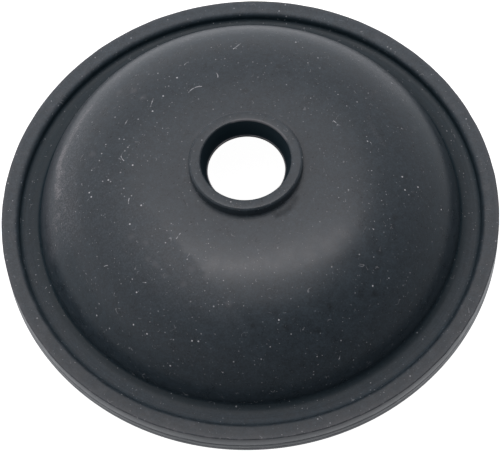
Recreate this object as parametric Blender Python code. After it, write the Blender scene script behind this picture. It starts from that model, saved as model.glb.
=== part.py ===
"""Exhaust valve bellows: a round rubber diaphragm, moulded in one piece.

A thick rim is clamped in the valve's housing, a thin domed wall flexes, and a collar
at the crown grips the valve's stem. The part stands on the flat underside of its rim,
with its axis on +Z and the middle of that underside at the origin. Units are metres.
"""

import math

import bmesh
import bpy
from mathutils import Matrix, Vector

# Rim and the ledge inside it
RIM_DIAMETER = 0.0704
RIM_WIDTH = 0.00247
RIM_STEP = 0.00146
RIM_INNER_ROUND = 0.0007
RIM_OUTER_ROUND = 0.0002
BASE_ROUND = 0.0002
LEDGE_THICKNESS = 0.00224
LEDGE_WIDTH = 0.0031
LEDGE_CORNER = 0.0004

# Domed wall, whose section is a superellipse
DOME_RISE = 0.01444
DOME_FOOT_FILLET = 0.0012
DOME_SIDE_POWER = 4.7
DOME_CROWN_POWER = 1.43
WALL = 0.0015

# Collar and the bore through it, which narrows to a thin lip
COLLAR_HEIGHT = 0.00147
COLLAR_WALL = 0.00162
COLLAR_ROUND = 0.0004
BORE_MOUTH_RADIUS = 0.00623
BORE_MOUTH_ROUND = 0.0002
BORE_TAPER = 0.00075
LIP_WIDTH = 0.00015
LIP_THICKNESS = 0.0003

# How finely the section and the turn are divided
TURN_STEPS = 64
DOME_STEPS = 15
LARGE_ROUND_STEPS = 4
SMALL_ROUND_STEPS = 2

# Finish of the rubber
RUBBER_COLOUR = (0.040, 0.043, 0.046, 1.0)
RUBBER_ROUGHNESS = 0.62

# Places that follow from the sizes
rim_radius = RIM_DIAMETER / 2
rim_inner_radius = rim_radius - RIM_WIDTH
dome_radius = rim_inner_radius - LEDGE_WIDTH
hollow_radius = dome_radius - WALL
collar_radius = BORE_MOUTH_RADIUS + COLLAR_WALL
bore_radius = BORE_MOUTH_RADIUS - BORE_TAPER
lip_radius = bore_radius - LIP_WIDTH

rim_top = LEDGE_THICKNESS + RIM_STEP
dome_foot = LEDGE_THICKNESS + DOME_FOOT_FILLET
crown = LEDGE_THICKNESS + DOME_RISE
collar_top = crown + COLLAR_HEIGHT
hub_underside = crown - WALL


def clear_scene():
    """Remove what the file opened with."""
    for obj in list(bpy.data.objects):
        bpy.data.objects.remove(obj, do_unlink=True)


def arc(centre, size, start, end, steps):
    """Section points on a round about its centre, from one angle in degrees to another."""
    points = []
    for step in range(steps + 1):
        angle = math.radians(start + (end - start) * step / steps)
        points.append(Vector((centre[0] + size * math.cos(angle), centre[1] + size * math.sin(angle))))
    return points


def dome_point(angle):
    """Point of the dome's outer section: 0 degrees is its foot and 90 its crown."""
    side = dome_radius * math.cos(angle) ** (2 / DOME_SIDE_POWER)
    height = dome_foot + (crown - dome_foot) * math.sin(angle) ** (2 / DOME_CROWN_POWER)
    return Vector((side, height))


def dome_normal(angle):
    """Outward direction of the dome's section, from the slope of the superellipse."""
    side, height = dome_point(angle)
    across = (side / dome_radius) ** (DOME_SIDE_POWER - 1) * DOME_SIDE_POWER / dome_radius
    rise = crown - dome_foot
    share = max(height - dome_foot, 0.0) / rise
    upward = share ** (DOME_CROWN_POWER - 1) * DOME_CROWN_POWER / rise
    return Vector((across, upward)).normalized()


def dome_angles():
    """Angles along the dome, from the collar's wall down to the foot."""
    start = math.acos((collar_radius / dome_radius) ** (DOME_SIDE_POWER / 2))
    return [start * (DOME_STEPS - step) / DOME_STEPS for step in range(DOME_STEPS + 1)]


def collar_section():
    """Collar from the edge of its bore, over its top and down its outside."""
    mouth_centre = (BORE_MOUTH_RADIUS + BORE_MOUTH_ROUND, collar_top - BORE_MOUTH_ROUND)
    edge_centre = (collar_radius - COLLAR_ROUND, collar_top - COLLAR_ROUND)
    mouth = arc(mouth_centre, BORE_MOUTH_ROUND, 180, 90, SMALL_ROUND_STEPS)
    edge = arc(edge_centre, COLLAR_ROUND, 90, 0, LARGE_ROUND_STEPS)
    return mouth + edge


def dome_section():
    """Outside of the dome from the collar down, and the hollow round into the ledge."""
    outside = [dome_point(angle) for angle in dome_angles()]
    fillet_centre = (dome_radius + DOME_FOOT_FILLET, dome_foot)
    fillet = arc(fillet_centre, DOME_FOOT_FILLET, 180, 270, LARGE_ROUND_STEPS)
    return outside + fillet[1:]


def rim_section():
    """Rim from its inner corner on the ledge, over its top and under its base."""
    inner_round = min(RIM_INNER_ROUND, RIM_STEP / 2)
    corner_centre = (rim_inner_radius - LEDGE_CORNER, LEDGE_THICKNESS + LEDGE_CORNER)
    inner_centre = (rim_inner_radius + inner_round, rim_top - inner_round)
    outer_centre = (rim_radius - RIM_OUTER_ROUND, rim_top - RIM_OUTER_ROUND)
    base_centre = (rim_radius - BASE_ROUND, BASE_ROUND)
    hollow_centre = (hollow_radius + BASE_ROUND, BASE_ROUND)
    corner = arc(corner_centre, LEDGE_CORNER, 270, 360, SMALL_ROUND_STEPS)
    inner = arc(inner_centre, inner_round, 180, 90, LARGE_ROUND_STEPS)
    outer = arc(outer_centre, RIM_OUTER_ROUND, 90, 0, SMALL_ROUND_STEPS)
    base = arc(base_centre, BASE_ROUND, 0, -90, SMALL_ROUND_STEPS)
    hollow = arc(hollow_centre, BASE_ROUND, 270, 180, SMALL_ROUND_STEPS)
    return corner + inner + outer + base + hollow


def underside_section():
    """Inside of the dome, one wall below its outside, up to the lip of the bore."""
    inside = [dome_point(angle) - dome_normal(angle) * WALL for angle in reversed(dome_angles())]
    lip_top = hub_underside + LIP_THICKNESS
    lip = [
        Vector((lip_radius, hub_underside)),
        Vector((lip_radius, lip_top)),
        Vector((bore_radius, lip_top)),
    ]
    return inside + lip


def turn(name, section):
    """Spin a closed section about Z into one solid object."""
    bm = bmesh.new()
    verts = [bm.verts.new((point.x, 0.0, point.y)) for point in section]
    edges = [bm.edges.new((verts[i - 1], verts[i])) for i in range(len(verts))]
    bmesh.ops.spin(
        bm,
        geom=verts + edges,
        axis=(0.0, 0.0, 1.0),
        cent=(0.0, 0.0, 0.0),
        angle=2 * math.pi,
        steps=TURN_STEPS,
        use_merge=True,
    )
    bmesh.ops.recalc_face_normals(bm, faces=bm.faces)
    mesh = bpy.data.meshes.new(name)
    bm.to_mesh(mesh)
    bm.free()
    mesh.shade_smooth()
    mesh.set_sharp_from_angle(angle=math.radians(30))
    obj = bpy.data.objects.new(name, mesh)
    obj.matrix_world = Matrix.Identity(4)
    bpy.context.collection.objects.link(obj)
    return obj


def rubber():
    """Matte charcoal black rubber."""
    material = bpy.data.materials.new("charcoal_rubber")
    material.use_nodes = True
    shader = material.node_tree.nodes["Principled BSDF"]
    shader.inputs["Base Color"].default_value = RUBBER_COLOUR
    shader.inputs["Roughness"].default_value = RUBBER_ROUGHNESS
    shader.inputs["Metallic"].default_value = 0.0
    material.diffuse_color = RUBBER_COLOUR
    return material


def build_bellows():
    """The whole part: its section runs from the bore over the outside and back inside."""
    section = collar_section() + dome_section() + rim_section() + underside_section()
    bellows = turn("bellows", section)
    bellows.data.materials.append(rubber())
    return bellows


clear_scene()
build_bellows()
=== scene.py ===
"""Looks of the exhaust valve bellows: its fine moulded skin, the worn rubber and the studio."""
import math

import bmesh
import bpy
from bpy.props import FloatProperty, FloatVectorProperty, IntProperty, PointerProperty
from bpy.types import Operator, Panel, PropertyGroup
from mathutils import Matrix, Vector, noise


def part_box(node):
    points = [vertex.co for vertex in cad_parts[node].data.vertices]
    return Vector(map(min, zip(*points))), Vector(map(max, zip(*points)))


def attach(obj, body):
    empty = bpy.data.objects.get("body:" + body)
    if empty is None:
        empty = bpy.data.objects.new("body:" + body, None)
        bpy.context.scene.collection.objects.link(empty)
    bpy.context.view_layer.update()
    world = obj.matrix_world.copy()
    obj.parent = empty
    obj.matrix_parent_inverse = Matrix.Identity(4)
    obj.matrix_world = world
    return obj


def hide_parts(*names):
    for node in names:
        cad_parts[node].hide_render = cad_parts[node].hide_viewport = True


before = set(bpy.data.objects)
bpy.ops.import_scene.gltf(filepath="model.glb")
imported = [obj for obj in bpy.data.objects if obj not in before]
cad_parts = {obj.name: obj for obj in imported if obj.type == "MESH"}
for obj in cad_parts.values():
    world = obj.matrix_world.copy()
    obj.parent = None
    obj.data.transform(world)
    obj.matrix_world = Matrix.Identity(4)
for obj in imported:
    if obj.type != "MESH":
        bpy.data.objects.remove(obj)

bl_info = {
    "name": "Exhaust Valve Bellows",
    "version": (1, 0, 0),
    "blender": (4, 5, 0),
    "location": "3D View > Sidebar > Bellows",
    "description": "Models a round rubber bellows with its worn surface, and a studio to show it in",
    "category": "Add Mesh",
}

NODE = "bellows"
MILLIMETRE = 0.001
PICTURE_WIDTH = 500
PICTURE_HEIGHT = 451

DOME_STEPS = 90
HOLLOW_STEPS = 44
HOLLOW_ROUND_STEPS = 12
MERGE_DISTANCE = 1e-7
SHARP_ANGLE = math.radians(35)
LINE_HALF_WIDTH = 0.75  # as a share of the mould line's depth

RUBBER_COLOUR = (0.0270, 0.0405, 0.0522, 1.0)
# Painted shade inside the bore
BORE_SHADE_COLOUR = (0.004, 0.018, 0.028, 1.0)
# Painted shade: a cool dark colour on the far ledge, at the dome's foot, on the rim's inner wall and on the
# ledge beside it
PAINTED_SHADE_COLOUR = (0.005, 0.027, 0.040, 1.0)
# Pale chalk, dust and wear, also used for painted sheen and highlights
HAZE_AND_HIGHLIGHT_COLOUR = (0.215, 0.214, 0.232, 1.0)
DUST_COLOUR = (0.52, 0.54, 0.58, 1.0)
RUBBER_ROUGHNESS = 0.30
LEDGE_ROUGHNESS = 0.62
FAR_LEDGE_ROUGHNESS = 0.55
SHADE_DEPTH = 0.35  # how much darker a stain, a smear with its painted shade below the collar, the painted shade at the dome's foot or a line at the foot is

FLOOR_RADIUS = 2.0
FLOOR_SIDES = 96
FLOOR_GAP = 0.00002
# How brightly the floor glows in reflections in a ring just beside the rim: painted light that the rim's
# outer wall reflects
RIM_GLOW = 0.76
RIM_GLOW_WIDTH = 0.0045
RIM_GLOW_FADE = 0.0003
CAMERA_REACH = 5.0
WATTS_PER_RADIANCE = 4.0
STRIP_DROP = 0.01
SOFTBOX_COLOUR = (1.0, 0.95, 0.955)
SURROUNDINGS_COLOUR = (1.0, 0.95, 0.955, 1.0)
DARKEST_CORNER = 0.02
FLOOR_TINT = (0.98, 1.0, 1.04, 1.0)

# Slight unevenness that the mould and handling leave on the rim
RIM_DRIFT = 0.00004
RIM_DRIFT_SCALE = 500.0
RIM_SEED = 4
GROOVE_SCALE = 260.0

# Factors that leave only the level part of a place
LEVEL = (1.0, 1.0, 0.0)

# The places and sizes of marks and masks are in millimetres. The rim's near and far side are along Y.
ORIGIN = (0.0, 0.0, 0.0)
NEAR_RIM = -34.0
FAR_RIM = 34.0

# Direction across the straight edge of the duller patch at the near left, and where that edge is
DULL_FACING = (-0.824, -0.567, 0.0)
DULL_START = 13.9
DULL_FULL = 14.9

# Shares of the full size and strength that the least speck has, and of a speck that is solid
SMALLEST_SPECK = 0.35
FAINTEST_SPECK = 0.3
SPECK_CORE = 0.4

FINE_DUST = {"Spacing": 0.50, "Share": 0.85, "Size": 0.12}
MEDIUM_DUST = {"Spacing": 0.95, "Share": 0.60, "Size": 0.16}
COARSE_DUST = {"Spacing": 2.8, "Share": 0.35, "Size": 0.16}
HIDDEN_DUST = {"Spacing": 1.1, "Share": 0.20, "Size": 0.11}
LOOSE_LINT = {"Spacing": 1.6, "Width": 0.013, "Share": 0.16}

# Parts of rings: middle azimuth and half the width in degrees, inner and outer radius, softness
# The far ring is chalk and also a painted sheen along the dome's far contour
FAR_CHALK_AND_SHEEN = (110, 92, 22.4, 29.9, 3.6)
LEFT_CHALK = (160, 38, 26.6, 29.9, 1.6)
# The ring behind the collar is dust, and also painted light over the shade at the collar's foot
BEHIND_COLLAR = (90, 62, 7.3, 8.9, 0.5)
# The worn far edge of the mouth also carries a painted highlight
WORN_AND_LIT_MOUTH = (64, 44, 6.1, 7.0, 0.15)


def length(name, description, default):
    """A setting that holds one length."""
    return FloatProperty(name=name, description=description, default=default, unit="LENGTH")


class BellowsShape(PropertyGroup):
    """Sizes of the moulding. The overall width and height come from the frame."""

    rim_width: length("Rim width", "Width of the flat rim, from its inner wall to its outer wall", 0.00247)
    rim_step: length("Rim step", "Height of the rim above the ledge inside it", 0.00146)
    rim_inner_round: length("Rim inner round", "Round on the rim's inner top edge", 0.0007)
    edge_round: length(
        "Edge round", "Small round on the rim's outer edges and on the edge of the hollow", 0.00015
    )
    ledge_thickness: length("Ledge thickness", "Height of the ledge above the underside", 0.00224)
    ledge_width: length("Ledge width", "Width of the ledge, from the dome to the rim's inner wall", 0.0031)
    ledge_corner: length(
        "Ledge corner", "Height of the hollow round between the ledge and the rim's inner wall", 0.0005
    )
    ledge_corner_run: length(
        "Ledge corner run", "Width of the hollow round between the ledge and the rim's inner wall", 0.0008
    )
    dome_foot_fillet: length(
        "Dome foot fillet", "Height of the hollow round between the ledge and the dome", 0.0012
    )
    dome_foot_run: length(
        "Dome foot run", "Width of the hollow round between the ledge and the dome", 0.0023
    )
    dome_side_power: FloatProperty(
        name="Dome side power",
        description="Power of the superellipse across the dome: higher makes a squarer shoulder",
        default=4.7,
    )
    dome_crown_power: FloatProperty(
        name="Dome crown power",
        description="Power of the superellipse up the dome: higher makes a steeper flank",
        default=1.43,
    )
    wall: length("Wall", "Thickness of the domed wall", 0.0015)
    collar_height: length("Collar height", "Height of the collar above the dome's crown", 0.00147)
    collar_wall: length("Collar wall", "Width of the collar's ring around the mouth of its bore", 0.00162)
    collar_round: length("Collar round", "Round on the collar's outer top edge", 0.0004)
    bore_mouth_radius: length("Bore mouth radius", "Radius of the bore at its top", 0.00623)
    bore_mouth_round: length("Bore mouth round", "Round on the edge of the bore", 0.0002)
    bore_taper: length("Bore taper", "How much narrower the bore is at its foot than at its mouth", 0.00075)
    lip_width: length("Lip width", "How far the thin lip stands into the bore", 0.00015)
    lip_thickness: length("Lip thickness", "Thickness of the lip at the foot of the bore", 0.0003)
    parting_depth: length("Parting line depth", "Depth of the mould's parting line around the rim", 0.00010)
    parting_height: length("Parting line height", "Height of the parting line above the underside", 0.00172)
    lower_line_height: length(
        "Lower line height", "Height of the second, fainter mould line above the underside", 0.00080
    )
    turn_steps: IntProperty(
        name="Turn steps",
        description="Number of faces around the bellows",
        default=384,
        min=64,
    )


class StudioLook(PropertyGroup):
    """Camera, lamps, surroundings and floor."""

    camera_distance: length(
        "Camera distance", "Distance from the camera to the middle of the bellows' underside", 0.3568
    )
    camera_elevation: FloatProperty(
        name="Camera elevation",
        description="Angle of the view above the floor",
        default=math.radians(61.81),
        subtype="ANGLE",
    )
    camera_lean: FloatProperty(
        name="Camera lean",
        description="Turn of the camera about its own line of sight",
        default=math.radians(-4.48),
        subtype="ANGLE",
    )
    camera_lens: FloatProperty(
        name="Lens",
        description="Focal length of the camera in millimetres",
        default=180.0,
        subtype="DISTANCE_CAMERA",
    )
    middle_column: FloatProperty(
        name="Middle column",
        description="Pixel column of the bellows' middle in the picture",
        default=250.50,
        subtype="PIXEL",
    )
    middle_row: FloatProperty(
        name="Middle row",
        description="Pixel row of the bellows' middle in the picture",
        default=222.35,
        subtype="PIXEL",
    )
    softbox_height: length("Softbox height", "Height of the softbox above the floor", 0.70)
    softbox_place: FloatVectorProperty(
        name="Softbox place",
        description="Where the wide softbox hangs, behind the bellows",
        default=(-0.042, 0.163),
        size=2,
        unit="LENGTH",
    )
    softbox_size: FloatVectorProperty(
        name="Softbox size",
        description="Width and depth of the wide softbox",
        default=(0.588, 0.788),
        size=2,
        unit="LENGTH",
    )
    softbox_radiance: FloatProperty(
        name="Softbox radiance",
        description="Brightness of the wide softbox, where 1 looks white",
        default=0.605,
    )
    strip_place: FloatVectorProperty(
        name="Strip place",
        description="Where the brighter strip light hangs, in the middle of the softbox",
        default=(0.010, 0.135),
        size=2,
        unit="LENGTH",
    )
    strip_size: FloatVectorProperty(
        name="Strip size",
        description="Width and depth of the strip light",
        default=(0.510, 0.115),
        size=2,
        unit="LENGTH",
    )
    strip_radiance: FloatProperty(
        name="Strip radiance",
        description="Brightness of the strip light, where 1 looks white",
        default=3.00,
    )
    surroundings: FloatProperty(
        name="Surroundings",
        description="Mean brightness of the room around the bellows",
        default=0.590,
    )
    surroundings_slope: FloatVectorProperty(
        name="Surroundings slope",
        description="How much brighter the room is to the right, behind and above",
        default=(-0.250, 0.375, -0.130),
        size=3,
    )
    floor_colour: FloatVectorProperty(
        name="Floor colour",
        description="Colour of the pale floor",
        default=(0.55, 0.55, 0.56, 1.0),
        size=4,
        subtype="COLOR",
    )
    floor_glow: FloatProperty(
        name="Floor glow",
        description="How bright the floor looks to the camera, where 1 is white",
        default=0.985,
        subtype="FACTOR",
    )
    floor_shine: FloatProperty(
        name="Floor shine",
        description="Mean brightness of the floor in reflections",
        default=0.435,
    )
    floor_slope: FloatVectorProperty(
        name="Floor slope",
        description="How much brighter the floor is in reflections to the right and behind",
        default=(-0.09, 0.28, 0.0),
        size=3,
    )


class Places:
    """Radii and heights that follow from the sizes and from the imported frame."""

    def __init__(self, shape):
        low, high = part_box(NODE)
        self.rim_radius = high.x
        self.rim_inner_radius = self.rim_radius - shape.rim_width
        self.dome_radius = self.rim_inner_radius - shape.ledge_width
        self.hollow_radius = self.dome_radius - shape.wall
        self.mouth_radius = shape.bore_mouth_radius
        self.collar_radius = self.mouth_radius + shape.collar_wall
        self.bore_radius = self.mouth_radius - shape.bore_taper
        self.lip_radius = self.bore_radius - shape.lip_width
        self.base = low.z
        self.parting = self.base + shape.parting_height
        self.lower_line = self.base + shape.lower_line_height
        self.ledge = self.base + shape.ledge_thickness
        self.rim_top = self.ledge + shape.rim_step
        self.dome_foot = self.ledge + shape.dome_foot_fillet
        self.collar_top = high.z
        self.crown = self.collar_top - shape.collar_height
        self.hub_underside = self.crown - shape.wall
        self.side_power = shape.dome_side_power
        self.crown_power = shape.dome_crown_power

    def dome_point(self, angle):
        """Section point of the dome's outside: 0 degrees is its foot and 90 its crown."""
        side = self.dome_radius * math.cos(angle) ** (2 / self.side_power)
        rise = self.crown - self.dome_foot
        return Vector((side, 0.0, self.dome_foot + rise * math.sin(angle) ** (2 / self.crown_power)))

    def dome_normal(self, angle):
        """Outward direction of the dome's section, from the slope of the superellipse."""
        point = self.dome_point(angle)
        rise = self.crown - self.dome_foot
        share = max(point.z - self.dome_foot, 0.0) / rise
        across = (point.x / self.dome_radius) ** (self.side_power - 1) * self.side_power / self.dome_radius
        upward = share ** (self.crown_power - 1) * self.crown_power / rise
        return Vector((across, 0.0, upward)).normalized()

    def upper_height(self, radius):
        """Height of the upper face at a radius."""
        if radius < self.collar_radius:
            return self.collar_top
        if radius < self.dome_radius:
            share = 1 - (radius / self.dome_radius) ** self.side_power
            return self.dome_foot + (self.crown - self.dome_foot) * share ** (1 / self.crown_power)
        if radius < self.rim_inner_radius:
            return self.ledge
        return self.rim_top

    def upper_point(self, azimuth, radius):
        """Point of the upper face in millimetres, from an azimuth in degrees and a radius."""
        turn = math.radians(azimuth)
        height = self.upper_height(radius * MILLIMETRE) / MILLIMETRE
        return Vector((radius * math.cos(turn), radius * math.sin(turn), height))

    def dome_angles(self, steps):
        """Angles along the dome, from the collar's wall down to the foot."""
        start = math.acos((self.collar_radius / self.dome_radius) ** (self.side_power / 2))
        return [start * (steps - step) / steps for step in range(steps + 1)]


def section_vertex(bm, side, height):
    """One vertex of the section, in the XZ plane."""
    return bm.verts.new((side, 0.0, height))


def round_corner(bm, corner, size, segments):
    """Round one corner of the section."""
    bmesh.ops.bevel(
        bm,
        geom=[corner],
        offset=size,
        offset_type="OFFSET",
        segments=segments,
        profile=0.5,
        affect="VERTICES",
        material=-1,
    )


def mould_line(bm, places, height, depth):
    """Section vertices of a shallow groove in the rim's outer wall, from its top down."""
    half_width = LINE_HALF_WIDTH * depth
    outer = places.rim_radius
    top = section_vertex(bm, outer, height + half_width)
    floor = section_vertex(bm, outer - depth, height)
    foot = section_vertex(bm, outer, height - half_width)
    return [top, floor, foot]


def hollow_round(bm, wall, ledge, run, rise):
    """Section vertices of a hollow round on the ledge, from its wall. The run points off the wall."""
    vertices = []
    for step in range(HOLLOW_ROUND_STEPS + 1):
        angle = math.radians(90) * step / HOLLOW_ROUND_STEPS
        side = wall + run * (1 - math.cos(angle))
        vertices.append(section_vertex(bm, side, ledge + rise * (1 - math.sin(angle))))
    return vertices


def draw_section(bm, shape, places):
    """Closed section of the bellows: over the collar, down the outside and back inside."""
    mouth = section_vertex(bm, places.mouth_radius, places.collar_top)
    collar_edge = section_vertex(bm, places.collar_radius, places.collar_top)
    outside = [bm.verts.new(places.dome_point(a)) for a in places.dome_angles(DOME_STEPS)[:-1]]
    foot = hollow_round(bm, places.dome_radius, places.ledge, shape.dome_foot_run, shape.dome_foot_fillet)
    inner_wall = places.rim_inner_radius
    corner = hollow_round(bm, inner_wall, places.ledge, -shape.ledge_corner_run, shape.ledge_corner)
    inner_edge = section_vertex(bm, inner_wall, places.rim_top)
    outer_edge = section_vertex(bm, places.rim_radius, places.rim_top)
    parting = mould_line(bm, places, places.parting, shape.parting_depth)
    lower = mould_line(bm, places, places.lower_line, shape.parting_depth / 2)
    base_edge = section_vertex(bm, places.rim_radius, places.base)
    hollow_edge = section_vertex(bm, places.hollow_radius, places.base)
    inside = []
    for angle in reversed(places.dome_angles(HOLLOW_STEPS)):
        inside.append(bm.verts.new(places.dome_point(angle) - places.dome_normal(angle) * shape.wall))
    lip_top = places.hub_underside + shape.lip_thickness
    lip = [
        section_vertex(bm, places.lip_radius, places.hub_underside),
        section_vertex(bm, places.lip_radius, lip_top),
        section_vertex(bm, places.bore_radius, lip_top),
    ]
    chain = [mouth, collar_edge] + outside + foot + corner[::-1] + [inner_edge, outer_edge]
    chain += parting + lower + [base_edge, hollow_edge] + inside + lip
    for start, end in zip(chain, chain[1:] + chain[:1]):
        bm.edges.new((start, end))
    round_corner(bm, mouth, shape.bore_mouth_round, segments=3)
    round_corner(bm, collar_edge, shape.collar_round, segments=6)
    round_corner(bm, inner_edge, shape.rim_inner_round, segments=8)
    round_corner(bm, outer_edge, shape.edge_round, segments=5)
    for groove in parting + lower:
        round_corner(bm, groove, shape.parting_depth / 6, segments=2)
    round_corner(bm, base_edge, shape.edge_round, segments=4)
    round_corner(bm, hollow_edge, shape.edge_round, segments=4)


def turn_section(bm, steps):
    """Spin the section about the bellows' axis into one closed skin."""
    bmesh.ops.spin(
        bm,
        geom=bm.verts[:] + bm.edges[:],
        axis=(0.0, 0.0, 1.0),
        cent=(0.0, 0.0, 0.0),
        angle=math.tau,
        steps=steps,
        use_merge=True,
    )
    bmesh.ops.remove_doubles(bm, verts=bm.verts, dist=MERGE_DISTANCE)
    bmesh.ops.recalc_face_normals(bm, faces=bm.faces)


def wear_rim(bm, shape, places):
    """Leave the rim a little uneven, and its parting line deeper in some places than in others."""
    half_depth = shape.parting_depth / 2
    noise.seed_set(RIM_SEED)
    for vertex in bm.verts:
        point = vertex.co
        flat = Vector((point.x, point.y, 0.0))
        if flat.length < places.rim_inner_radius or point.z < places.lower_line:
            continue
        in_groove = abs(point.z - places.parting) < half_depth
        if in_groove and flat.length < places.rim_radius - half_depth:
            filled = max(noise.noise(point * GROOVE_SCALE), 0.0)
            vertex.co += flat.normalized() * shape.parting_depth * filled
        elif not in_groove:
            vertex.co += noise.noise_vector(point * RIM_DRIFT_SCALE) * RIM_DRIFT


class Graph:
    """Short ways to add nodes to one node tree. An input is a constant or another socket."""

    def __init__(self, tree):
        self.tree = tree

    def put(self, socket, value):
        """Link a socket in, or set a constant."""
        if isinstance(value, bpy.types.NodeSocket):
            self.tree.links.new(value, socket)
        else:
            socket.default_value = value

    def add(self, kind, **inputs):
        """A node with its named inputs filled."""
        node = self.tree.nodes.new(kind)
        for name, value in inputs.items():
            self.put(node.inputs[name.replace("_", " ")], value)
        return node

    def math(self, operation, first, second=0.0, third=0.0):
        """Result of one sum on numbers."""
        node = self.tree.nodes.new("ShaderNodeMath")
        node.operation = operation
        for socket, value in zip(node.inputs, (first, second, third)):
            self.put(socket, value)
        return node.outputs["Value"]

    def vector(self, operation, first, second=(0.0, 0.0, 0.0)):
        """Result of one sum on vectors."""
        node = self.tree.nodes.new("ShaderNodeVectorMath")
        node.operation = operation
        self.put(node.inputs[0], first)
        self.put(node.inputs["Scale" if operation == "SCALE" else 1], second)
        number = operation in {"DOT_PRODUCT", "LENGTH", "DISTANCE"}
        return node.outputs["Value" if number else "Vector"]

    def ease(self, value, start, end, low=0.0, high=1.0):
        """Smooth change from low, where the value is at its start, to high at its end."""
        node = self.tree.nodes.new("ShaderNodeMapRange")
        node.interpolation_type = "SMOOTHSTEP"
        for socket, given in zip(node.inputs, (value, start, end, low, high)):
            self.put(socket, given)
        return node.outputs["Result"]

    def noise(self, place, scale, detail=2.0, roughness=0.5):
        """Soft noise between 0 and 1."""
        node = self.add("ShaderNodeTexNoise", Vector=place, Scale=scale, Detail=detail, Roughness=roughness)
        return node.outputs["Fac"]

    def blend(self, share, first, second):
        """Mix of two colours."""
        node = self.tree.nodes.new("ShaderNodeMix")
        node.data_type = "RGBA"
        for socket, value in zip((node.inputs[0], node.inputs[6], node.inputs[7]), (share, first, second)):
            self.put(socket, value)
        return node.outputs[2]

    def blend_value(self, share, first, second):
        """Mix of two numbers."""
        return self.add("ShaderNodeMix", Factor=share, A=first, B=second).outputs["Result"]

    def shade(self, colour, factor):
        """Colour times a number."""
        return self.vector("SCALE", colour, factor)

    def product(self, *factors):
        """Several numbers multiplied, from the first to the last."""
        result = factors[0]
        for factor in factors[1:]:
            result = self.math("MULTIPLY", result, factor)
        return result

    def band(self, value, start, full, fading, end):
        """Mask that rises between the first two values and falls between the last two."""
        return self.product(self.ease(value, start, full), self.ease(value, end, fading))

    def pile(self, value, layers):
        """A number with each mask times its amount added."""
        for mask, amount in layers:
            value = self.math("MULTIPLY_ADD", mask, amount, value)
        return value

    def level(self, place):
        """The level part of a place, and its distance from the axis."""
        flat = self.vector("MULTIPLY", place, LEVEL)
        return flat, self.vector("LENGTH", flat)

    def group(self, tree, **inputs):
        """Place a node group and fill its inputs."""
        node = self.tree.nodes.new("ShaderNodeGroup")
        node.node_tree = tree
        for name, value in inputs.items():
            self.put(node.inputs[name.replace("_", " ")], value)
        return node.outputs[0]

    def largest(self, masks):
        """The strongest of several masks."""
        result = masks[0]
        for mask in masks[1:]:
            result = self.math("MAXIMUM", result, mask)
        return result


def new_group(name, inputs, output):
    """Empty node group with named inputs and one number as its output."""
    tree = bpy.data.node_groups.new(name, "ShaderNodeTree")
    for label, default in inputs.items():
        kind = "NodeSocketVector" if isinstance(default, tuple) else "NodeSocketFloat"
        tree.interface.new_socket(label, in_out="INPUT", socket_type=kind).default_value = default
    tree.interface.new_socket(output, in_out="OUTPUT", socket_type="NodeSocketFloat")
    given = tree.nodes.new("NodeGroupInput").outputs
    result = tree.nodes.new("NodeGroupOutput").inputs[0]
    return Graph(tree), given, result


def dust_group():
    """Scattered round specks."""
    graph, given, result = new_group(
        "Dust Specks", {"Place": ORIGIN, "Spacing": 1.0, "Share": 0.2, "Size": 0.08}, "Mask"
    )
    scaled = graph.vector("SCALE", given["Place"], graph.math("DIVIDE", 1.0, given["Spacing"]))
    cells = graph.add("ShaderNodeTexVoronoi", Vector=scaled, Scale=1.0)
    draw = graph.add("ShaderNodeSeparateColor", Color=cells.outputs["Color"]).outputs
    squared = graph.product(draw["Green"], draw["Green"])
    share_of_size = graph.math("MULTIPLY_ADD", squared, 1 - SMALLEST_SPECK, SMALLEST_SPECK)
    reach = graph.product(graph.math("DIVIDE", given["Size"], given["Spacing"]), share_of_size)
    speck = graph.ease(cells.outputs["Distance"], reach, graph.product(reach, SPECK_CORE))
    present = graph.math("LESS_THAN", draw["Red"], given["Share"])
    strength = graph.math("MULTIPLY_ADD", draw["Blue"], 1 - FAINTEST_SPECK, FAINTEST_SPECK)
    graph.put(result, graph.product(speck, present, strength))
    return graph.tree


def stroke_group():
    """Bowed stroke between two points, for lint, hairs and stains."""
    points = {"Place": ORIGIN, "Start": ORIGIN, "End": (1.0, 0.0, 0.0), "Bow": ORIGIN}
    graph, given, result = new_group("Bowed Stroke", {**points, "Width": 0.1, "Core": 0.4}, "Mask")
    run = graph.vector("SUBTRACT", given["End"], given["Start"])
    offset = graph.vector("SUBTRACT", given["Place"], given["Start"])
    ahead = graph.vector("DOT_PRODUCT", offset, run)
    along = graph.math("DIVIDE", ahead, graph.vector("DOT_PRODUCT", run, run))
    along = graph.math("MINIMUM", graph.math("MAXIMUM", along, 0.0), 1.0)
    arch = graph.product(along, graph.math("SUBTRACT", 1.0, along), 4.0)
    spine = graph.vector("ADD", graph.vector("SCALE", run, along), graph.vector("SCALE", given["Bow"], arch))
    distance = graph.vector("DISTANCE", offset, spine)
    inner = graph.product(given["Width"], given["Core"])
    graph.put(result, graph.ease(distance, given["Width"], inner))
    return graph.tree


def spot_group():
    """Soft round spot."""
    graph, given, result = new_group(
        "Soft Spot", {"Place": ORIGIN, "Centre": ORIGIN, "Size": 0.5, "Core": 0.2}, "Mask"
    )
    distance = graph.vector("DISTANCE", given["Place"], given["Centre"])
    inner = graph.product(given["Size"], given["Core"])
    graph.put(result, graph.ease(distance, given["Size"], inner))
    return graph.tree


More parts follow.
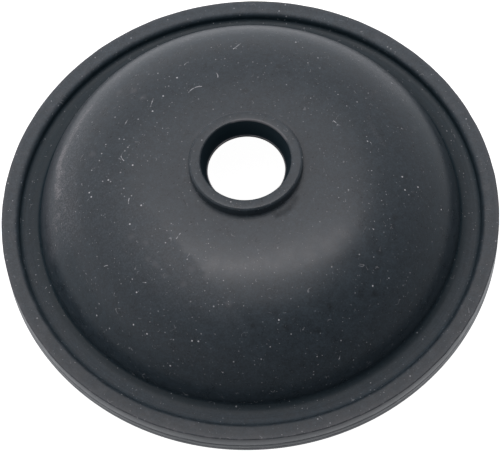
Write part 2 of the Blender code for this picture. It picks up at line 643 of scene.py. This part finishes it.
def sector_group():
    """Part of a ring about the axis: between two radii, and facing one way."""
    points = {"Place": ORIGIN, "Facing": (1.0, 0.0, 0.0)}
    sizes = {"Reach": 0.8, "Inner": 10.0, "Outer": 20.0, "Softness": 1.0}
    graph, given, result = new_group("Ring Sector", {**points, **sizes}, "Mask")
    flat, radius = graph.level(given["Place"])
    facing = graph.vector("DOT_PRODUCT", graph.vector("NORMALIZE", flat), given["Facing"])
    sideways = graph.ease(facing, given["Reach"], graph.math("MULTIPLY_ADD", given["Reach"], 0.7, 0.3))
    rising = graph.ease(radius, given["Inner"], graph.math("ADD", given["Inner"], given["Softness"]))
    falling = graph.ease(radius, given["Outer"], graph.math("SUBTRACT", given["Outer"], given["Softness"]))
    graph.put(result, graph.product(rising, falling, sideways))
    return graph.tree


def turning_group():
    """Fine lines round the axis, left by the turned mould."""
    graph, given, result = new_group("Turned Lines", {"Place": ORIGIN, "Spacing": 0.3}, "Height")
    flat, radius = graph.level(given["Place"])
    turn = graph.vector("SCALE", graph.vector("NORMALIZE", flat), 0.6)
    rise = graph.add("ShaderNodeSeparateXYZ", Vector=given["Place"]).outputs["Z"]
    step = graph.math("DIVIDE", graph.math("ADD", radius, rise), given["Spacing"])
    along = graph.add("ShaderNodeCombineXYZ", X=step).outputs["Vector"]
    graph.put(result, graph.noise(graph.vector("ADD", along, turn), 1.0, 2.0, 0.6))
    return graph.tree


def grain_group():
    """Fine skin of moulded rubber, as a height between 0 and 1."""
    graph, given, result = new_group("Rubber Grain", {"Place": ORIGIN, "Size": 0.3}, "Height")
    scale = graph.math("DIVIDE", 1.0, given["Size"])
    fine = graph.noise(given["Place"], scale, 3.0, 0.6)
    broad = graph.noise(given["Place"], graph.product(scale, 0.22), 2.0, 0.5)
    graph.put(result, graph.pile(graph.product(fine, 0.6), [(broad, 0.4)]))
    return graph.tree


def lint_group():
    """Short curls of lint: thin lines of a noise's middle height, kept where a second noise is high."""
    graph, given, result = new_group(
        "Lint Curls", {"Place": ORIGIN, "Spacing": 2.0, "Width": 0.012, "Share": 0.3}, "Mask"
    )
    scaled = graph.vector("SCALE", given["Place"], graph.math("DIVIDE", 1.0, given["Spacing"]))
    winding = graph.noise(scaled, 1.0, 1.0, 0.5)
    offset = graph.math("ABSOLUTE", graph.math("SUBTRACT", winding, 0.5))
    line = graph.ease(offset, given["Width"], graph.product(given["Width"], 0.3))
    pick = graph.noise(graph.vector("ADD", scaled, (5.3, 2.1, 8.7)), 1.6, 0.0, 0.5)
    limit = graph.math("MULTIPLY_ADD", given["Share"], -0.5, 0.8)
    kept = graph.ease(pick, limit, graph.math("ADD", limit, 0.05))
    graph.put(result, graph.product(line, kept))
    return graph.tree


# Marks on the upper face, as azimuth in degrees and radius in millimetres.
# Azimuth 0 is at the right of the picture and 90 at its top.
LINT = (
    ((135, 17.2), (137.2, 16.9), (139.4, 16.6)),
    ((88.4, 20.8), (89.9, 20.2), (91.5, 19.7)),
    ((150.1, 18.4), (151.2, 18.4), (152.3, 18.4)),
    ((26, 13.9), (24.8, 14), (23.7, 14.1)),
    ((192, 16.6), (193.2, 16.8), (194.4, 16.9)),
    ((225.6, 14.5), (225.4, 14), (225.2, 13.6)),
    ((226, 21.7), (226.5, 21.6), (227, 21.5)),
    ((210.9, 23.6), (211.2, 23.4), (211.6, 23.2)),
    ((119.8, 14.4), (115.7, 14.6), (111.8, 14.3)),
    ((113.2, 19.1), (112.1, 19.3), (111.1, 19.3)),
    ((168.9, 17.4), (170.1, 17.2), (171.3, 16.9)),
    ((101.6, 15.7), (101.2, 15.3), (101.5, 14.9)),
    ((230.9, 28.3), (231.6, 28.2), (232.1, 28.3)),
    ((237, 29.4), (236.4, 29.5), (236.9, 29.6)),
    ((291.8, 28.2), (292.1, 28.1), (292.3, 28)),
    ((271.9, 29.1), (272.3, 29.2), (272.9, 29.1)),
    ((283.9, 24.4), (284.2, 24.3), (284.6, 24.2)),
    ((76.5, 16.4), (75.4, 17), (74.1, 17.1)),
)
HAIRS = (
    ((212.4, 28.6), (213.4, 28.6), (214.1, 28.8)),
    ((296.6, 27.3), (297, 27.6), (296.9, 28.1)),
    ((237.6, 27.1), (238.2, 27.2), (238.7, 27.2)),
    ((162.7, 16.5), (165.8, 17.1), (168.9, 17.4)),
    ((212.3, 25.6), (213.1, 25.9), (214, 26)),
)
STAINS = (
    ((31, 22.1), (28.6, 20), (20, 18.6)),
    ((20, 18.6), (13, 18.5), (6, 19.4)),
    ((25, 26.7), (19.5, 25.4), (14, 24.8)),
    ((42, 23.4), (40, 23.2), (38, 23.7)),
)
CHALK_CORES = (
    ((162, 26.6), (167, 26.8), (171, 26.5)),
    ((174, 26.6), (176, 26.5), (178, 26.4)),
)
CHALK_STREAKS = (
    ((146, 25.5), (154, 26), (162, 26.4)),
    ((170, 26), (178, 25.6), (184, 25.4)),
    ((177, 26.6), (182, 26.5), (185, 26.4)),
    ((184, 27.2), (186, 27.4), (188, 27.3)),
)
# Smears below the collar at its near right; their darkening is also painted shade under the collar
SMEARS_AND_COLLAR_SHADE = (
    ((293, 8.9), (299, 9), (306, 9.1)),
    ((306, 8.9), (313, 8.8), (318, 8.7)),
)
BRIGHT_SPECKS = (
    (218, 27.8), (235, 26.3), (131, 16.4), (141, 15.9), (183, 21.8), (119.5, 17.6), (353, 21.4),
    (351, 23.6), (348, 21.9), (348, 27), (277, 22.7), (311, 24), (230, 26.2), (226, 23.1),
    (128, 32.7), (249, 25.3), (251, 25.2), (244, 28.1), (68, 22.4), (34, 25.9), (185, 21.6),
    (180, 19), (174, 15.6), (198, 15.4), (204, 17.9),
)
FAINT_SPECKS = (
    (217, 26.8), (222, 22.2), (280, 24.5), (273, 25.4), (270, 26.5), (262, 26.7), (259, 27.7),
    (286, 27.3), (294, 26.8), (59, 19), (57, 20.7), (139, 26.8), (191, 16.2),
    (192, 27.8), (170, 26.2), (327, 19.7), (315, 20.2), (303, 19.1), (317, 24.7),
    (49, 33.5), (48, 33.5), (282, 33.6), (306, 34.1), (249, 6.8), (148, 6.8), (340, 14.5),
    (150, 20.4), (148, 17), (153, 23.6), (158, 25), (160, 18.3), (160, 17.6), (163, 20), (164, 16.7),
    (166, 17), (181, 18.7), (180, 19.8), (174, 21.4), (186, 17), (181, 28.3), (161, 28),
)
PALE_SPOTS = (
    (209, 18.6), (216, 17.7), (222, 19), (226, 19.1), (232, 19.5), (240, 19.3), (241, 17.2),
    (248, 17.4), (259, 20.3), (167, 21.5), (137, 18.6), (136, 20.7), (139, 22.6),
)
DARK_SPOTS = (
    (87, 11.9), (70, 16.7), (279, 23.7), (288, 25), (295, 23.1), (306, 23.9), (316, 22.9),
    (321, 21.9), (335.5, 21.5), (268, 23), (310, 24.8), (215, 29.6),
)


class Skin:
    """What every rubber material starts from: its shader, its places and its masks."""

    def __init__(self, name, groups, places):
        self.groups = groups
        self.places = places
        self.material = bpy.data.materials.new(name)
        self.material.use_nodes = True
        self.graph = Graph(self.material.node_tree)
        self.shader = self.graph.tree.nodes["Principled BSDF"]
        coordinates = self.graph.tree.nodes.new("ShaderNodeTexCoord")
        self.place = self.graph.vector("SCALE", coordinates.outputs["Object"], 1 / MILLIMETRE)
        self.radius = self.graph.level(self.place)[1]
        parts = self.graph.add("ShaderNodeSeparateXYZ", Vector=self.place).outputs
        self.front = parts["Y"]
        self.height = parts["Z"]

    def mask(self, kind, place, **inputs):
        """Place one of the shared node groups."""
        return self.graph.group(self.groups[kind], Place=place, **inputs)

    def strokes(self, place, marks, width, core):
        """One mask for a set of bowed strokes."""
        result = 0.0
        for stroke in marks:
            start, middle, end = [self.places.upper_point(*point) for point in stroke]
            bow = middle - (start + end) / 2
            mask = self.mask("stroke", place, Start=start, End=end, Bow=bow, Width=width, Core=core)
            result = self.graph.math("MAXIMUM", result, mask)
        return result

    def spots(self, place, marks, size, core):
        """One mask for a set of round spots."""
        result = 0.0
        for point in marks:
            centre = self.places.upper_point(*point)
            mask = self.mask("spot", place, Centre=centre, Size=size, Core=core)
            result = self.graph.math("MAXIMUM", result, mask)
        return result

    def sector(self, place, azimuth, half_width, inner, outer, softness):
        """Mask for a part of a ring, from its middle azimuth and half its width in degrees."""
        turn = math.radians(azimuth)
        facing = Vector((math.cos(turn), math.sin(turn), 0.0))
        reach = math.cos(math.radians(half_width))
        sizes = {"Reach": reach, "Inner": inner, "Outer": outer, "Softness": softness}
        return self.mask("sector", place, Facing=facing, **sizes)

    def finish(self, colour, roughness, height):
        """Feed the shader. The height is in millimetres."""
        self.graph.put(self.shader.inputs["Base Color"], colour)
        self.graph.put(self.shader.inputs["Roughness"], roughness)
        bump = self.graph.add("ShaderNodeBump", Height=height, Distance=MILLIMETRE)
        self.graph.put(self.shader.inputs["Normal"], bump.outputs["Normal"])
        return self.material


class Zones:
    """Masks for the parts of the bellows that look different: ledge, rim, its edges and its side."""

    def __init__(self, skin):
        graph = skin.graph
        places = skin.places
        dome = places.dome_radius / MILLIMETRE
        inner = places.rim_inner_radius / MILLIMETRE
        outer = places.rim_radius / MILLIMETRE
        mouth = places.mouth_radius / MILLIMETRE
        top = places.rim_top / MILLIMETRE
        collar_top = places.collar_top / MILLIMETRE
        radius = skin.radius
        height = skin.height
        self.ledge = graph.band(radius, dome + 0.3, dome + 1.7, inner - 0.2, inner + 0.3)
        self.rim = graph.ease(radius, inner, inner + 0.4)
        self.foot = graph.band(radius, dome, dome + 0.5, dome + 1.3, dome + 2.0)
        # Where shade is painted: the dome's foot, the ledge beside the rim's inner wall (shaded) and that
        # wall (corner)
        self.foot_shade = graph.band(radius, dome - 0.1, dome + 0.3, dome + 0.3, dome + 2.3)
        self.shaded = graph.band(radius, inner - 1.2, inner - 0.1, inner, inner + 0.2)
        wall = graph.band(radius, inner - 0.2, inner, inner + 0.2, inner + 0.6)
        self.corner = graph.product(wall, graph.ease(height, top - 0.1, top - 0.6))
        self.inner_edge = graph.product(self.rim, graph.ease(radius, inner + 1.1, inner + 0.5))
        self.rim_top = graph.product(self.rim, graph.ease(height, top - 0.3, top - 0.1))
        self.side = graph.ease(radius, outer - 0.10, outer - 0.02)
        self.outer_edge = graph.ease(radius, outer - 0.9, outer)
        near_top = graph.ease(height, top - 0.5, top - 0.2)
        self.nicked = graph.product(graph.ease(radius, outer - 0.35, outer - 0.1), near_top)
        at_mouth = graph.ease(height, collar_top - 0.3, collar_top - 0.12)
        self.mouth = graph.product(graph.ease(radius, mouth + 0.33, mouth + 0.17), at_mouth)


def dust_mask(skin):
    """Specks, lint and hairs that lie on the rubber."""
    graph = skin.graph
    place = skin.place
    aside = graph.vector("ADD", place, (7.0, 3.0, 0.0))
    further = graph.vector("ADD", place, (1.0, 9.0, 4.0))
    dusty = graph.ease(graph.noise(place, 0.22, 3.0, 0.6), 0.38, 0.62, 0.50, 1.0)
    broken = graph.ease(graph.noise(place, 2.6, 1.0, 0.5), 0.38, 0.58, 0.25, 0.9)
    return graph.largest([
        graph.product(skin.mask("dust", place, **FINE_DUST), 0.65, dusty),
        graph.product(skin.mask("dust", aside, **MEDIUM_DUST), 0.85, dusty),
        graph.product(skin.mask("dust", further, **COARSE_DUST), dusty),
        graph.product(skin.mask("lint", place, **LOOSE_LINT), 0.30, dusty),
        graph.product(skin.spots(place, FAINT_SPECKS, size=0.14, core=0.2), 0.7),
        skin.spots(place, BRIGHT_SPECKS, size=0.16, core=0.35),
        graph.product(skin.strokes(place, LINT, width=0.08, core=0.2), broken),
        graph.product(skin.strokes(place, HAIRS, width=0.07, core=0.2), 0.3),
    ])


def haze_and_sheen_mask(skin, zones, ragged, powder, dull):
    """Pale bloom: chalk on the far and left flank, spots, stains and worn edges, with painted light too: a
    sheen along the far contour, a pale ring behind the collar over the shade at its foot and a highlight on
    the far edge of the mouth.
    """
    graph = skin.graph
    place = skin.place
    chalky = graph.math("MULTIPLY_ADD", powder, 0.85, 0.15)
    strands = graph.ease(skin.mask("turning", ragged, Spacing=0.8), 0.38, 0.60, 0.15, 1.0)
    strands = graph.product(strands, graph.math("MULTIPLY_ADD", powder, 0.8, 0.2))
    patches = graph.ease(graph.noise(place, 0.55, 3.0, 0.65), 0.50, 0.68)
    nicks = graph.ease(graph.noise(place, 1.1, 2.0, 0.6), 0.52, 0.62)
    return graph.largest([
        graph.product(skin.spots(ragged, PALE_SPOTS, size=0.75, core=0.1), 0.45),
        graph.product(skin.strokes(ragged, STAINS, width=0.55, core=0.1), 0.40, chalky),
        # Chalk on the far flank, and a painted sheen along the far contour
        graph.product(skin.sector(ragged, *FAR_CHALK_AND_SHEEN), 1.15, chalky),
        graph.product(skin.sector(ragged, *LEFT_CHALK), 1.25, chalky),
        graph.product(skin.strokes(ragged, CHALK_CORES, width=1.3, core=0.0), 6.0, strands),
        graph.product(skin.strokes(ragged, CHALK_STREAKS, width=1.3, core=0.0), 3.0, strands),
        # Dust behind the collar, and painted light over the shade at the collar's foot
        graph.product(skin.sector(place, *BEHIND_COLLAR), 0.22),
        graph.product(dull, 0.14, chalky),
        graph.product(zones.rim, 0.24, patches),
        graph.product(zones.outer_edge, 0.40),
        graph.product(zones.nicked, 0.9, nicks),
        # Wear and a painted highlight on the far edge of the mouth
        graph.product(zones.mouth, skin.sector(place, *WORN_AND_LIT_MOUTH), 1.1),
    ])


def worn_rubber(groups, places):
    """Satin charcoal rubber of the upper face and the outside, with its dust, lint and stains, and with
    painted light and shade on the ledge, the rim, the dome's foot and below the collar.
    """
    skin = Skin("worn_rubber", groups, places)
    graph = skin.graph
    place = skin.place
    front = skin.front
    zones = Zones(skin)
    wander = graph.add("ShaderNodeTexNoise", Vector=place, Scale=0.9, Detail=3.0).outputs["Color"]
    drift = graph.vector("SUBTRACT", wander, (0.5, 0.5, 0.5))
    ragged = graph.vector("ADD", place, graph.vector("SCALE", drift, 1.3))
    mottle = graph.noise(place, 1.5, 3.0, 0.65)
    smudge = graph.noise(place, 0.5, 3.0, 0.6)
    speckle = graph.noise(place, 4.0, 2.0, 0.7)

    beyond = graph.vector("DOT_PRODUCT", ragged, DULL_FACING)
    dull = graph.product(graph.ease(beyond, DULL_START, DULL_FULL), graph.ease(skin.radius, 24.5, 21.0))
    dark = skin.spots(place, DARK_SPOTS, size=0.8, core=0.0)
    # Darker, duller smears below the collar, whose darkening also paints the shade there
    smears_and_collar_shade = skin.strokes(ragged, SMEARS_AND_COLLAR_SHADE, width=0.8, core=0.0)
    dust = dust_mask(skin)
    # Pale chalk, dust and wear, with painted light: a sheen on the far flank, a pale ring behind the collar
    # and a highlight at the mouth
    haze_and_sheen = haze_and_sheen_mask(skin, zones, ragged, graph.ease(speckle, 0.42, 0.66), dull)
    lines = skin.mask("turning", place, Spacing=0.26)
    foot_lines = graph.ease(skin.mask("turning", place, Spacing=0.40), 0.42, 0.58)
    near_foot = graph.product(zones.foot, graph.ease(front, -4.0, -18.0))
    foot_lines = graph.product(foot_lines, near_foot)

    # Painted light and shade: the ledge is paler at the near side than at the far side, and the rim the
    # other way round
    near_ledge = graph.ease(front, -28.0, 4.0, 0.26, -0.06)
    ledge_tone = graph.math("ADD", near_ledge, graph.ease(front, 8.0, 26.0, 0.0, -0.12))
    ledge_painted_light = graph.product(zones.ledge, ledge_tone)
    rim_painted_light = graph.product(zones.rim, graph.ease(front, NEAR_RIM, FAR_RIM, -0.17, 0.27))
    ledge_lines = graph.product(graph.ease(lines, 0.35, 0.65, -0.15, 0.15), zones.ledge)
    tone = graph.product(
        graph.ease(mottle, 0.25, 0.75, 0.86, 1.14),
        graph.ease(smudge, 0.3, 0.7, 0.90, 1.10),
        graph.ease(speckle, 0.38, 0.62, 0.86, 1.14),
        graph.math("ADD", 1.0, graph.math("ADD", ledge_painted_light, rim_painted_light)),
        graph.math("ADD", 1.0, ledge_lines),
    )
    # Darken the stains, the smears and the lines at the foot; at the smears and the dome's foot this
    # darkening is painted shade
    for shade in (dark, smears_and_collar_shade, zones.foot_shade, foot_lines):
        tone = graph.product(tone, graph.math("MULTIPLY_ADD", shade, -SHADE_DEPTH, 1.0))
    # Painted shade, in a cool dark colour, on the far ledge, at the dome's foot, on the rim's inner wall and
    # on the ledge beside it
    painted_shade = graph.largest([
        graph.product(zones.ledge, graph.ease(front, -10.0, 16.0, 0.05, 0.42)),
        graph.product(zones.foot_shade, 0.40),
        graph.product(zones.corner, 0.5),
        graph.product(zones.shaded, graph.ease(front, -20.0, 5.0, 0.15, 0.45)),
    ])
    rubber = graph.blend(painted_shade, graph.shade(RUBBER_COLOUR[:3], tone), PAINTED_SHADE_COLOUR)
    colour = graph.blend(graph.product(haze_and_sheen, 0.35), rubber, HAZE_AND_HIGHLIGHT_COLOUR)
    colour = graph.blend(dust, colour, DUST_COLOUR)

    ledge_rough = graph.ease(front, 6.0, 26.0, LEDGE_ROUGHNESS, FAR_LEDGE_ROUGHNESS)
    rough = graph.blend_value(zones.ledge, RUBBER_ROUGHNESS, ledge_rough)
    rough = graph.math("ADD", rough, graph.ease(smudge, 0.3, 0.7, -0.03, 0.03))
    rough = graph.pile(rough, [
        (zones.rim_top, graph.ease(front, NEAR_RIM, FAR_RIM, 0.17, 0.03)),
        (zones.inner_edge, graph.ease(front, -10.0, 10.0, 0.0, 0.20)),
        (dull, 0.14),
        (haze_and_sheen, 0.05),
        (smears_and_collar_shade, 0.25),
    ])

    grain = skin.mask("grain", place, Size=0.30)
    height = graph.pile(graph.product(grain, 0.006), [
        (lines, graph.math("MULTIPLY_ADD", zones.ledge, 0.016, 0.001)),
        (foot_lines, -0.012),
        (graph.product(lines, zones.side), 0.012),
    ])
    return skin.finish(colour, rough, height)


def hidden_rubber(groups, places):
    """Plainer matte rubber of the underside and the bore, with the mould's turning lines, painted shade in
    the bore and a painted highlight on the lip.
    """
    skin = Skin("underside_rubber", groups, places)
    graph = skin.graph
    place = skin.place
    mouth = places.mouth_radius / MILLIMETRE
    bore = places.bore_radius / MILLIMETRE
    clouds = graph.noise(place, 0.25, 3.0, 0.55)
    in_bore = graph.ease(skin.radius, mouth + 0.37, mouth + 0.07)
    on_lip = graph.ease(skin.radius, bore - 0.02, bore - 0.06)
    tone = graph.ease(clouds, 0.25, 0.75, 0.85, 1.12)
    # Painted shade: the bore is given a darker colour
    rubber = graph.blend(in_bore, graph.shade(RUBBER_COLOUR[:3], tone), BORE_SHADE_COLOUR)
    # Painted highlight on the lip at the foot of the bore
    lip_highlight = graph.product(on_lip, graph.ease(clouds, 0.35, 0.65, 0.2, 0.9))
    colour = graph.blend(lip_highlight, rubber, HAZE_AND_HIGHLIGHT_COLOUR)
    colour = graph.blend(graph.product(skin.mask("dust", place, **HIDDEN_DUST), 0.3), colour, DUST_COLOUR)
    rough = graph.pile(graph.ease(clouds, 0.25, 0.75, 0.48, 0.40), [(in_bore, 0.15)])
    height = graph.product(skin.mask("grain", place, Size=0.35), 0.012)
    height = graph.pile(height, [(skin.mask("turning", place, Spacing=0.4), 0.010)])
    return skin.finish(colour, rough, height)


def make_floor(look, places):
    """Large pale floor. It looks white to the camera and keeps the object's shadow. In reflections it glows
    as painted light that grows brighter towards the back, brightest in a ring just beside the rim and dark
    under the bellows.
    """
    bm = bmesh.new()
    bmesh.ops.create_circle(bm, cap_ends=True, cap_tris=False, segments=FLOOR_SIDES, radius=FLOOR_RADIUS)
    mesh = bpy.data.meshes.new("studio_floor")
    bm.to_mesh(mesh)
    bm.free()
    floor = bpy.data.objects.new("studio_floor", mesh)
    floor.location.z = -FLOOR_GAP
    bpy.context.collection.objects.link(floor)
    material = bpy.data.materials.new("studio_floor")
    material.use_nodes = True
    graph = Graph(material.node_tree)
    graph.tree.nodes.clear()
    path = graph.add("ShaderNodeLightPath").outputs
    flat, radius = graph.level(graph.add("ShaderNodeNewGeometry").outputs["Position"])
    slope = graph.vector("DOT_PRODUCT", graph.vector("NORMALIZE", flat), tuple(look.floor_slope))
    glow_end = places.rim_radius + RIM_GLOW_WIDTH
    beside = graph.ease(radius, glow_end, glow_end - RIM_GLOW_WIDTH / 2, 0.0, RIM_GLOW)
    outside = graph.ease(radius, places.rim_radius - RIM_GLOW_FADE, places.rim_radius)
    shine = graph.math("MAXIMUM", graph.math("ADD", slope, look.floor_shine), beside)
    shine = graph.product(shine, outside)
    seen = graph.math("MAXIMUM", path["Is Camera Ray"], path["Is Transmission Ray"])
    diffuse = graph.add("ShaderNodeBsdfDiffuse", Color=tuple(look.floor_colour))
    white = graph.add("ShaderNodeEmission", Strength=graph.product(seen, look.floor_glow))
    both = graph.tree.nodes.new("ShaderNodeAddShader")
    graph.put(both.inputs[0], diffuse.outputs[0])
    graph.put(both.inputs[1], white.outputs[0])
    mirrored = graph.add("ShaderNodeEmission", Color=FLOOR_TINT, Strength=shine)
    choice = graph.add("ShaderNodeMixShader", Fac=path["Is Glossy Ray"])
    graph.put(choice.inputs[1], both.outputs[0])
    graph.put(choice.inputs[2], mirrored.outputs[0])
    graph.add("ShaderNodeOutputMaterial", Surface=choice.outputs[0])
    floor.data.materials.append(material)


def make_camera(look):
    """Camera at the photograph's angle, leaning a little about its line of sight."""
    elevation = look.camera_elevation
    back = Vector((0.0, -math.cos(elevation), math.sin(elevation)))
    up = Vector((0.0, math.sin(elevation), math.cos(elevation)))
    right = Vector((1.0, 0.0, 0.0))
    lean = look.camera_lean
    leaning_right = right * math.cos(lean) + up * math.sin(lean)
    leaning_up = up * math.cos(lean) - right * math.sin(lean)
    data = bpy.data.cameras.new("photo_camera")
    data.lens = look.camera_lens
    data.clip_end = CAMERA_REACH
    data.shift_x = (PICTURE_WIDTH / 2 - look.middle_column) / PICTURE_WIDTH
    data.shift_y = (look.middle_row - PICTURE_HEIGHT / 2) / PICTURE_WIDTH
    camera = bpy.data.objects.new("photo_camera", data)
    turn = Matrix((leaning_right, leaning_up, back)).transposed()
    camera.matrix_world = Matrix.Translation(back * look.camera_distance) @ turn.to_4x4()
    bpy.context.collection.objects.link(camera)
    bpy.context.scene.camera = camera


def add_softbox(name, place, height, size, radiance):
    """One rectangular softbox that looks straight down. A radiance of 1 looks white."""
    data = bpy.data.lights.new(name, "AREA")
    data.shape = "RECTANGLE"
    data.size, data.size_y = size
    data.energy = WATTS_PER_RADIANCE * radiance * size[0] * size[1]
    data.color = SOFTBOX_COLOUR
    lamp = bpy.data.objects.new(name, data)
    lamp.location = (*place, height)
    bpy.context.collection.objects.link(lamp)


def make_world(look):
    """Soft surroundings, bright behind and to the left and dim in front."""
    world = bpy.data.worlds.new("studio_surroundings")
    bpy.context.scene.world = world
    world.use_nodes = True
    graph = Graph(world.node_tree)
    graph.tree.nodes.clear()
    towards = graph.add("ShaderNodeTexCoord").outputs["Generated"]
    slope = graph.vector("DOT_PRODUCT", towards, tuple(look.surroundings_slope))
    room = graph.math("MAXIMUM", graph.math("ADD", slope, look.surroundings), DARKEST_CORNER)
    path = graph.add("ShaderNodeLightPath").outputs
    seen = graph.math("MAXIMUM", path["Is Camera Ray"], path["Is Transmission Ray"])
    glow = graph.math("MAXIMUM", seen, room)
    colour = graph.blend(seen, SURROUNDINGS_COLOUR, (1.0, 1.0, 1.0, 1.0))
    light = graph.add("ShaderNodeBackground", Color=colour, Strength=glow)
    graph.add("ShaderNodeOutputWorld", Surface=light.outputs[0])


def mark_underside(mesh, places):
    """Give the faces of the hollow, the base and the bore their own rubber."""
    depth = places.ledge / 2
    side_wall = places.rim_radius - places.ledge / 10
    for face in mesh.polygons:
        radius = math.hypot(face.center.x, face.center.y)
        under = places.upper_height(radius) - face.center.z > depth
        face.material_index = 1 if under and radius <= side_wall else 0


class BELLOWS_OT_mould_bellows(Operator):
    """Model the whole bellows as one closed skin and give it its worn rubber"""

    bl_idname = "bellows.mould_bellows"
    bl_label = "Mould Bellows"

    def execute(self, context):
        shape = context.scene.bellows_shape
        places = Places(shape)
        bm = bmesh.new()
        draw_section(bm, shape, places)
        turn_section(bm, shape.turn_steps)
        wear_rim(bm, shape, places)
        mesh = bpy.data.meshes.new("bellows_skin")
        bm.to_mesh(mesh)
        bm.free()
        mesh.shade_smooth()
        mesh.set_sharp_from_angle(angle=SHARP_ANGLE)
        groups = {
            "dust": dust_group(),
            "stroke": stroke_group(),
            "spot": spot_group(),
            "sector": sector_group(),
            "turning": turning_group(),
            "grain": grain_group(),
            "lint": lint_group(),
        }
        mesh.materials.append(worn_rubber(groups, places))
        mesh.materials.append(hidden_rubber(groups, places))
        mark_underside(mesh, places)
        skin = bpy.data.objects.new("bellows_skin", mesh)
        context.collection.objects.link(skin)
        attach(skin, "root")
        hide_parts(NODE)
        return {"FINISHED"}


class BELLOWS_OT_set_studio(Operator):
    """Set the camera, the lamps and the pale floor"""

    bl_idname = "bellows.set_studio"
    bl_label = "Set Studio"

    def execute(self, context):
        look = context.scene.bellows_studio
        make_floor(look, Places(context.scene.bellows_shape))
        make_camera(look)
        high = look.softbox_height
        low = high - STRIP_DROP
        add_softbox("wide_softbox", look.softbox_place, high, look.softbox_size, look.softbox_radiance)
        add_softbox("strip_light", look.strip_place, low, look.strip_size, look.strip_radiance)
        make_world(look)
        context.scene.view_settings.view_transform = "Standard"
        return {"FINISHED"}


class BELLOWS_PT_sidebar(Panel):
    """Steps and sizes of the bellows and its studio"""

    bl_idname = "BELLOWS_PT_sidebar"
    bl_label = "Exhaust Valve Bellows"
    bl_space_type = "VIEW_3D"
    bl_region_type = "UI"
    bl_category = "Bellows"

    def draw(self, context):
        self.list_step("bellows.mould_bellows", context.scene.bellows_shape)
        self.list_step("bellows.set_studio", context.scene.bellows_studio)

    def list_step(self, step, settings):
        """Show one step with its settings below it."""
        self.layout.operator(step)
        for name in type(settings).__annotations__:
            self.layout.prop(settings, name)


CLASSES = (BellowsShape, StudioLook, BELLOWS_OT_mould_bellows, BELLOWS_OT_set_studio, BELLOWS_PT_sidebar)


def register():
    """Add the classes and their settings to Blender."""
    for cls in CLASSES:
        bpy.utils.register_class(cls)
    bpy.types.Scene.bellows_shape = PointerProperty(type=BellowsShape)
    bpy.types.Scene.bellows_studio = PointerProperty(type=StudioLook)


def unregister():
    """Take the classes and their settings out again."""
    del bpy.types.Scene.bellows_studio
    del bpy.types.Scene.bellows_shape
    for cls in reversed(CLASSES):
        bpy.utils.unregister_class(cls)


def main():
    """Make the whole scene around the frame."""
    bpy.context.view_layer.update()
    register()
    bpy.ops.bellows.mould_bellows()
    bpy.ops.bellows.set_studio()


if __name__ == "__main__":
    main()
